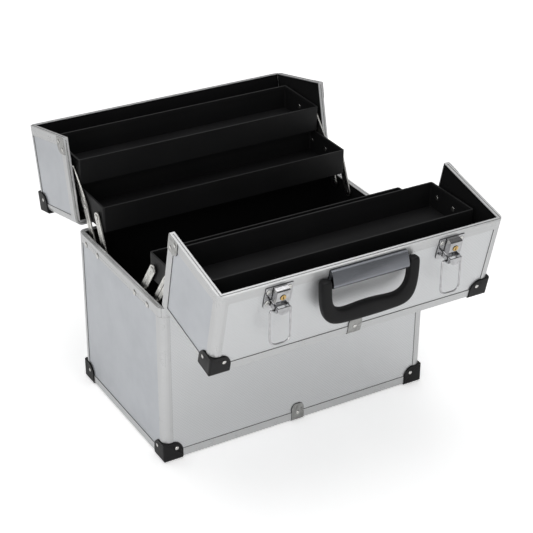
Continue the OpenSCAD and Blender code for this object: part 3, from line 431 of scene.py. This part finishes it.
# %% [markdown]
# ## The materials
# Each material starts as a Principled shader. Its fixed values are set on the shader itself,
# and only what varies over the surface comes from nodes. A bump takes a height in millimetres
# of relief, so a pattern keeps its depth whatever its size.


# %% A material to start from
def new_material(name, color, metallic, roughness, **more):
    """A Principled material; more gives further sockets with _ for a space."""
    material = bpy.data.materials.new(name)
    material.use_nodes = True
    tree = material.node_tree
    shader = next(node for node in tree.nodes if node.type == "BSDF_PRINCIPLED")
    shader.inputs["Base Color"].default_value = (*color, 1)
    shader.inputs["Metallic"].default_value = metallic
    shader.inputs["Roughness"].default_value = roughness
    for label, value in more.items():
        shader.inputs[label.replace("_", " ")].default_value = value
    return material, tree, shader.inputs


def place_on_case(tree, side):
    """Points in millimetres and the facing, turned as if the lid on this side were shut."""
    pivot = (0, side * lid_hinge.y, lid_hinge.z)
    return use_group(tree, CASE_COORDINATES, {"Turn": side * LID_OPEN, "Pivot": pivot})


def edge_distance(tree, spot, corners):
    """The distance in millimetres to the nearest edge of the box that these two corners give."""
    low, high = (tuple(a / MM for a in corner) for corner in corners)
    values = {"Point": spot["Point"], "Facing": spot["Facing"], "Low": low, "High": high}
    return use_group(tree, EDGE_DISTANCE, values)["Across"]


def two_tones(tree, mask, first, second):
    """A colour between two, the first where the mask is 0; the first may be a node's socket."""
    mixed = add(tree, "Mix", {"Factor": mask}, data_type="RGBA")
    fill(tree, mixed.inputs[6], (*first, 1) if isinstance(first, tuple) else first)
    mixed.inputs[7].default_value = (*second, 1)
    return mixed.outputs[2]


def color_with_painted_shade(tree, shader, color, reach=BOARD_SHADE_REACH):
    """Gives the shader its colour, with painted shade, nearly black, in the crevices."""
    painted_shade = use_group(tree, PAINTED_CREVICE_SHADE, {"Reach": reach})["Mask"]
    fill(tree, shader["Base Color"], two_tones(tree, painted_shade, color, CREVICE_SHADE_COLOR))


def worn(tree, mask, smooth, rough, extra, share):
    """A roughness that goes from smooth to rough with the mask, and up by a share of extra."""
    base = ramp(tree, mask, 0.0, 1.0, smooth, rough)
    return calc(tree, "ADD", base, calc(tree, "MULTIPLY", extra, share))


def relief(tree, height, depth_mm, under=None):
    """A bump of depth_mm millimetres, laid over the bump under it if there is one."""
    values = {"Height": height, "Distance": depth_mm * MM, "Strength": 1.0}
    if under is not None:
        values["Normal"] = under
    return add(tree, "Bump", values).outputs[0]


MATERIALS = {}
print("material helpers ready")

# %% [markdown]
# ## The boards
# The front, the top and the back are faced with a rolled sheet, and the ends with a smooth one
# that looks a little bluer. Both are silver pigment under clear plastic, so they are only
# partly metallic. Smudges make them duller in places.


# %% Materials: boards
EMBOSS_PITCH_MM = 4.2
EMBOSS_DEPTH_MM = 0.11


def make_board(name, side):
    """The embossed sheet, laid out on one side of the case."""
    material, tree, shader = new_material(name, (0.75, 0.76, 0.77), 0.7, 0.3)
    spot = place_on_case(tree, side)
    in_face = {"Point": spot["Point"], "Facing": spot["Facing"], "Pitch": EMBOSS_PITCH_MM}
    emboss = use_group(tree, DIAMOND_EMBOSS, in_face)
    marks = use_group(tree, HANDLING_MARKS, {"Point": spot["Point"], "Spread": 60.0})
    # The colour, with the furrows a little darker and painted shade in the crevices
    color_with_painted_shade(tree, shader, two_tones(tree, emboss["Furrow"], (0.75, 0.76, 0.77), (0.64, 0.65, 0.66)))
    fill(tree, shader["Roughness"], ramp(tree, marks["Smudge"], 0.0, 1.0, 0.29, 0.33))
    fill(tree, shader["Normal"], relief(tree, emboss["Height"], EMBOSS_DEPTH_MM))
    MATERIALS[name] = material


def make_plain_board(name, side):
    """The smooth sheet, with a faint orange peel and fine grain."""
    material, tree, shader = new_material(name, (0.59, 0.61, 0.64), 0.65, 0.34)
    spot = place_on_case(tree, side)
    marks = use_group(tree, HANDLING_MARKS, {"Point": spot["Point"], "Spread": 45.0})
    peel = add(tree, "TexNoise", {"Vector": spot["Point"], "Scale": 0.9, "Detail": 2.0}).outputs[0]
    grain = add(tree, "TexNoise", {"Vector": spot["Point"], "Scale": 7.0, "Detail": 1.0}).outputs[0]
    # The colour, a little darker where smudged, with painted shade in the crevices
    color_with_painted_shade(tree, shader, two_tones(tree, marks["Smudge"], (0.59, 0.61, 0.64), (0.565, 0.585, 0.615)))
    fill(tree, shader["Roughness"], worn(tree, marks["Smudge"], 0.28, 0.38, marks["Scratch"], 0.15))
    fill(tree, shader["Normal"], relief(tree, grain, 0.008, relief(tree, peel, 0.02)))
    MATERIALS[name] = material


for part_name, part_side in SIDES.items():
    make_board(part_name + " board", part_side)
    make_plain_board(part_name + " end board", part_side)
print("boards:", sorted(MATERIALS))

# %% [markdown]
# ## The aluminium profiles
# Satin anodised: the layer on the metal makes it light, a little rough and only partly
# metallic. The drawn lines need the corners of the box they belong to, which is the base or one
# of the shut lids.


# %% Materials: profiles
def make_profile(name, side):
    """Anodised aluminium with drawn lines along the edges of one side's box."""
    material, tree, shader = new_material(name, (0.70, 0.70, 0.70), 0.6, 0.3)
    spot = place_on_case(tree, side)
    lines = use_group(tree, DRAWN_LINES, {"Across": edge_distance(tree, spot, CORNERS[side])})
    marks = use_group(tree, HANDLING_MARKS, {"Point": spot["Point"], "Spread": 30.0})
    # The colour, with the tone of the drawn lines and painted shade in the crevices
    color_with_painted_shade(tree, shader, two_tones(tree, lines["Tone"], (0.61, 0.615, 0.62), (0.69, 0.695, 0.695)))
    drawn = ramp(tree, lines["Height"], 0.3, 0.7, 0.26, 0.38)
    smudged = calc(tree, "MULTIPLY", marks["Smudge"], 0.08)
    fill(tree, shader["Roughness"], calc(tree, "ADD", drawn, smudged))
    fill(tree, shader["Normal"], relief(tree, lines["Height"], 0.012))
    MATERIALS[name] = material


for part_name, part_side in SIDES.items():
    make_profile(part_name + " profile", part_side)
print("profiles done")

# %% [markdown]
# ## Plated, bare and coloured metal
# The latches are chromed and nearly a mirror. The clips are duller, and the arms and rivets
# are zinc plated steel, which is paler and cloudier. The key cylinders are brass, and the
# handle's mount is a smooth bluish plate.


# %% Materials: small metal
def make_metal(name, dull, bright, roughness, grain, spread=8.0):
    """A metal with bright edges; roughness (least, most) and grain (size, depth) are pairs."""
    material, tree, shader = new_material(name, bright, 1.0, roughness[1])
    spot = place_on_case(tree, 0)
    marks = use_group(tree, HANDLING_MARKS, {"Point": spot["Point"], "Spread": spread})
    pebbles = use_group(tree, PEBBLE_GRAIN, {"Point": spot["Point"], "Size": grain[0]})
    edge = use_group(tree, RUBBED_EDGE, {"Point": spot["Point"], "Radius": 0.4 * MM, "Patchiness": 0.1})
    cloud = ramp(tree, calc(tree, "SUBTRACT", marks["Smudge"], edge["Mask"]), 0.0, 1.0)
    # The colour between bright and dull, with painted shade in the crevices
    color_with_painted_shade(tree, shader, two_tones(tree, cloud, bright, dull), METAL_SHADE_REACH)
    fill(tree, shader["Roughness"], worn(tree, cloud, *roughness, marks["Scratch"], 0.12))
    fill(tree, shader["Normal"], relief(tree, pebbles["Height"], grain[1]))
    MATERIALS[name] = material


make_metal("chrome", (0.44, 0.44, 0.45), (0.60, 0.60, 0.61), (0.06, 0.14), (0.8, 0.004))
make_metal("clip steel", (0.32, 0.32, 0.31), (0.44, 0.44, 0.43), (0.20, 0.34), (0.8, 0.008))
make_metal("rivet steel", (0.60, 0.60, 0.58), (0.80, 0.79, 0.76), (0.16, 0.30), (0.5, 0.008))
make_metal("arm steel", (0.66, 0.65, 0.62), (0.84, 0.83, 0.79), (0.24, 0.38), (1.2, 0.010))
make_metal("brass", (0.50, 0.32, 0.11), (0.72, 0.50, 0.20), (0.18, 0.34), (0.6, 0.006))
make_metal("mount metal", (0.24, 0.25, 0.275), (0.28, 0.29, 0.315), (0.22, 0.27), (0.6, 0.002), 60.0)
print("metals done")

# %% [markdown]
# ## Paint, plastic and cloth
# Four blacks that must not look alike. The trays have a smooth stoved paint that is worn grey
# on the edges. The protectors and the handle are plastic with a moulded grain, and the handle
# is the shinier. The lining is a dull cloth.


# %% Materials: blacks
def make_black(name, color, edge_color, roughness, grain, edge_wear, spread, **more):
    """A black with paler edges; roughness (least, most) and grain (size, depth) are pairs."""
    material, tree, shader = new_material(name, color, 0.0, roughness[1], **more)
    spot = place_on_case(tree, 0)
    pebbles = use_group(tree, PEBBLE_GRAIN, {"Point": spot["Point"], "Size": grain[0]})
    marks = use_group(tree, HANDLING_MARKS, {"Point": spot["Point"], "Spread": spread})
    rubbed = {"Point": spot["Point"], "Radius": 0.5 * MM, "Patchiness": edge_wear}
    edge = use_group(tree, RUBBED_EDGE, rubbed)
    fill(tree, shader["Base Color"], two_tones(tree, edge["Mask"], color, edge_color))
    fill(tree, shader["Roughness"], worn(tree, marks["Smudge"], *roughness, marks["Scratch"], 0.1))
    fill(tree, shader["Normal"], relief(tree, pebbles["Height"], grain[1]))
    MATERIALS[name] = material


make_black("tray paint", (0.010, 0.010, 0.0105), (0.034, 0.034, 0.036), (0.42, 0.58), (0.7, 0.02),
           edge_wear=0.02, spread=70.0, Specular_IOR_Level=0.22)
make_black("black plastic", (0.006, 0.006, 0.0065), (0.02, 0.02, 0.021), (0.38, 0.52), (0.9, 0.04),
           edge_wear=0.05, spread=25.0, Specular_IOR_Level=0.28)
make_black("handle plastic", (0.005, 0.005, 0.0055), (0.014, 0.014, 0.015), (0.40, 0.52), (1.1, 0.02),
           edge_wear=0.0, spread=30.0, Specular_IOR_Level=0.22)
make_black("lining cloth", (0.003, 0.003, 0.0034), (0.008, 0.008, 0.0085), (0.85, 0.97), (0.45, 0.12),
           edge_wear=-0.2, spread=60.0, Specular_IOR_Level=0.15, Sheen_Weight=0.02, Sheen_Roughness=0.5)
print("all materials:", len(MATERIALS))

# %% [markdown]
# ## Which piece is made of what
# Node names say what a piece is, so a short list of words to look for in them is enough. The
# first word that is found counts. Boards and profiles also need to know which part of the case
# they belong to.

# %% Give every CAD piece its material
BY_NAME = (
    ("end_panels", "end board"),
    ("base_left_panel", "end board"),
    ("base_right_panel", "end board"),
    ("panel", "board"),
    ("profiles", "profile"),
    ("lining", "lining cloth"),
    ("protectors", "black plastic"),
    ("lock_cylinder", "brass"),
    ("handle_grip", "handle plastic"),
    ("handle_mount", "mount metal"),
    ("clips", "clip steel"),
    ("hinge_leaves", "clip steel"),
    ("_arms", "arm steel"),
    ("tray_rivets", "rivet steel"),
    ("_tray", "tray paint"),
    ("rivets", "rivet steel"),
    ("", "chrome"),
)
PARTED = ("board", "end board", "profile")


def material_for(node_name):
    """The material of a node by its name, and for some by the part of the case as well."""
    kind = next(material for word, material in BY_NAME if word in node_name)
    if kind not in PARTED:
        return MATERIALS[kind]
    lids = [lid for lid in ("front lid", "rear lid") if node_name.startswith(lid.replace(" ", "_"))]
    return MATERIALS[(lids or ["base"])[0] + " " + kind]


for node_name, piece in frame["nodes"].items():
    piece.data.materials.clear()
    piece.data.materials.append(material_for(node_name))
print("materials given to", len(frame["nodes"]), "pieces")

# %% [markdown]
# ## The handle's moulded grip
# The plain grip has the right size, but a hand wants it rounder. A moulded handle is a closed
# form that swells where the palm lies and has no edge anywhere, so it is drawn as a row of
# rounded sections from one leg round to the other. Each section lies between a point of the
# outer outline and a point of the inner one. Subdivision then makes the form smooth. It swings
# with the handle's body and stands for the plain grip, which MuJoCo keeps.

# %% Outline of the handle
# Half of the handle, from the end of a leg to the middle of the bar. Each row is a point of the
# outer outline and one of the inner: mm from the middle and mm below the pivots.
HALF_GRIP = (
    ((65.6, -7.3), (59.0, -7.3)),
    ((69.0, -6.6), (55.9, -6.6)),
    ((70.2, -3.0), (55.1, -3.0)),
    ((70.0, 12.0), (55.0, 8.0)),
    ((69.0, 24.0), (54.8, 16.0)),
    ((67.2, 35.0), (53.4, 23.5)),
    ((63.6, 44.6), (50.2, 29.6)),
    ((57.0, 51.8), (44.6, 34.2)),
    ((47.5, 55.2), (37.0, 36.6)),
    ((33.0, 56.2), (26.0, 36.0)),
    ((17.0, 56.7), (13.0, 34.6)),
    ((0.0, 56.9), (0.0, 34.0)),
)
GRIP_HALF_DEPTH = 6.7
END_DEPTH = 0.6  # of the full depth, at the ends of the legs
SECTION_POINTS = 16
SECTION_POWER = 0.55  # 1 gives an ellipse, and less gives flatter sides
mirrored_half = [((-a[0], a[1]), (-b[0], b[1])) for a, b in reversed(HALF_GRIP[:-1])]
grip_outline = [*HALF_GRIP, *mirrored_half]
print("sections:", len(grip_outline))


# %% Sweep the handle
def flattened(part):
    """A sine or cosine, pushed outward so that the section gets flatter sides."""
    return math.copysign(abs(part) ** SECTION_POWER, part)


handle_pivot = Vector(joints["handle_hinge"]["pos_m"])
grip_bm = bmesh.new()
grip_rings = []
for i, (outer_end, inner_end) in enumerate(grip_outline):
    middle = Vector((outer_end[0] + inner_end[0], 0, -outer_end[1] - inner_end[1])) / 2
    reach = Vector((outer_end[0] - inner_end[0], 0, inner_end[1] - outer_end[1])) / 2
    depth = GRIP_HALF_DEPTH * (END_DEPTH if i in (0, len(grip_outline) - 1) else 1.0)
    ring = []
    for k in range(SECTION_POINTS):
        angle = 2 * math.pi * k / SECTION_POINTS
        out = Vector((0, -depth * flattened(math.sin(angle)), 0))
        spot = middle + reach * flattened(math.cos(angle)) + out
        ring.append(grip_bm.verts.new(handle_pivot + spot * MM))
    grip_rings.append(ring)
for ring, after in zip(grip_rings, grip_rings[1:]):
    for k in range(SECTION_POINTS):
        j = (k + 1) % SECTION_POINTS
        grip_bm.faces.new((ring[k], after[k], after[j], ring[j]))
grip_bm.faces.new(grip_rings[0])
grip_bm.faces.new(list(reversed(grip_rings[-1])))
bmesh.ops.recalc_face_normals(grip_bm, faces=grip_bm.faces)
grip_mesh = bpy.data.meshes.new("moulded_grip")
grip_bm.to_mesh(grip_mesh)
grip_bm.free()
moulded_grip = bpy.data.objects.new("moulded_grip", grip_mesh)
bpy.context.scene.collection.objects.link(moulded_grip)
for polygon in grip_mesh.polygons:
    polygon.use_smooth = True
grip_mesh.materials.append(MATERIALS["handle plastic"])
smooth_form = moulded_grip.modifiers.new("smooth form", "SUBSURF")
smooth_form.levels = smooth_form.render_levels = 2
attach(moulded_grip, "handle")
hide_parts("handle_grip")
print("grip:", len(grip_mesh.vertices), "points")

# %% [markdown]
# ## Edges
# No real edge is perfectly sharp, and a sharp one catches no light. Every piece gets a small
# rounding: its doubled points are first welded, then the sharp edges are bevelled, and weighted
# normals keep the flat faces flat. Both stay modifiers, so they can be changed afterwards.

# %% Round the edges
SHARP_FROM_DEG = 35  # an edge that bends less is left alone
EDGE_RADII_MM = (
    ("lining", 0.4),
    ("panel", 0.2),
    ("profiles", 0.3),
    ("protectors", 0.5),
    ("_tray_rivets", 0.15),
    ("_tray", 0.3),
    ("", 0.2),
)
for node_name, piece in frame["nodes"].items():
    radius = next(size for word, size in EDGE_RADII_MM if word in node_name)
    for polygon in piece.data.polygons:
        polygon.use_smooth = True
    weld = piece.modifiers.new("weld", "WELD")
    weld.merge_threshold = 0.01 * MM
    bevel = piece.modifiers.new("rounding", "BEVEL")
    bevel.width = radius * MM
    bevel.segments = 2
    bevel.limit_method = "ANGLE"
    bevel.angle_limit = math.radians(SHARP_FROM_DEG)
    bevel.use_clamp_overlap = True
    smooth = piece.modifiers.new("flat faces", "WEIGHTED_NORMAL")
    smooth.keep_sharp = True
print("edges rounded")

# %% [markdown]
# ## Floor and light
# A white floor runs out of the picture. It shines a little by itself, more with the distance, so
# that it meets the white sky without a line. A large soft light hangs over the box, a second
# one stands at the left front, and a low one fills the front.

# %% Floor
FLOOR_HALF = 12.0
GLOW_NEAR, GLOW_FAR = 0.45, 1.0  # how much the floor shines by itself to the camera
GLOW_IN_MIRRORS = 0.12
floor_corners = [(x * FLOOR_HALF, y * FLOOR_HALF, 0) for x, y in ((-1, -1), (1, -1), (1, 1), (-1, 1))]
floor_mesh = bpy.data.meshes.new("floor")
floor_mesh.from_pydata(floor_corners, [], [(0, 1, 2, 3)])
floor = bpy.data.objects.new("floor", floor_mesh)
bpy.context.scene.collection.objects.link(floor)
floor_material, floor_tree, floor_shader = new_material("white floor", (0.9, 0.9, 0.9), 0.0, 0.9)
floor_mesh.materials.append(floor_material)
floor_shader["Emission Color"].default_value = (1, 1, 1, 1)
floor_ray = floor_tree.nodes.new("ShaderNodeLightPath").outputs
on_floor = floor_tree.nodes.new("ShaderNodeTexCoord").outputs["Object"]
far = add(floor_tree, "VectorMath", [on_floor], operation="LENGTH").outputs["Value"]
glow = ramp(floor_tree, far, 0.7, 2.2, GLOW_NEAR, GLOW_FAR)
seen = calc(floor_tree, "MULTIPLY", floor_ray["Is Camera Ray"], glow)
mirrored = calc(floor_tree, "MULTIPLY", floor_ray["Is Glossy Ray"], GLOW_IN_MIRRORS)
fill(floor_tree, floor_shader["Emission Strength"], calc(floor_tree, "ADD", seen, mirrored))
print("floor", 2 * FLOOR_HALF, "m wide")


# %% Lights
def soft_light(name, place, target, size, power):
    """A rectangular area light at place, turned to target; size is its width and height."""
    data = bpy.data.lights.new(name, "AREA")
    data.shape = "RECTANGLE"
    data.size, data.size_y = size
    data.energy = power
    light = bpy.data.objects.new(name, data)
    bpy.context.scene.collection.objects.link(light)
    aim = Vector(target) - Vector(place)
    turn = aim.to_track_quat("-Z", "Y").to_matrix().to_4x4()
    light.matrix_world = Matrix.Translation(place) @ turn


soft_light("top", (0.1, 0.2, 2.2), (0, 0, 0.2), (1.8, 1.8), 17)
soft_light("left front", (-1.9, -1.5, 1.3), (0, 0, 0.2), (1.4, 1.6), 14.5)
soft_light("front", (-0.2, -2.4, 0.5), (0, 0, 0.15), (1.8, 0.9), 8)
bpy.context.scene.view_settings.view_transform = "Standard"

# %% [markdown]
# ## The room in the mirrors
# To the camera the sky is plain white. In the metal it is a grey room, lighter above, with
# large dark and light patches. Chrome shows them as contrast, and satin metal blurs them away.

# %% Sky
ROOM_LOW, ROOM_HIGH = 0.24, 0.48
PATCH_DARK, PATCH_LIGHT = 0.35, 1.65
world = bpy.data.worlds.new("studio")
bpy.context.scene.world = world
world.use_nodes = True
sky = world.node_tree
background = next(node for node in sky.nodes if node.type == "BACKGROUND")
ray = sky.nodes.new("ShaderNodeLightPath").outputs
around = sky.nodes.new("ShaderNodeTexCoord").outputs["Generated"]
height = add(sky, "SeparateXYZ", [around]).outputs[2]
patches = add(sky, "TexNoise", {"Vector": around, "Scale": 3.5, "Detail": 0.0}).outputs[0]
by_height = ramp(sky, height, 0.05, 0.7, ROOM_LOW, ROOM_HIGH)
room = calc(sky, "MULTIPLY", by_height, ramp(sky, patches, 0.47, 0.55, PATCH_DARK, PATCH_LIGHT))
fill(sky, background.inputs["Strength"], calc(sky, "MAXIMUM", room, ray["Is Camera Ray"]))
background.inputs["Color"].default_value = (1, 1, 1, 1)
print("sky from", ROOM_LOW, "to", ROOM_HIGH)
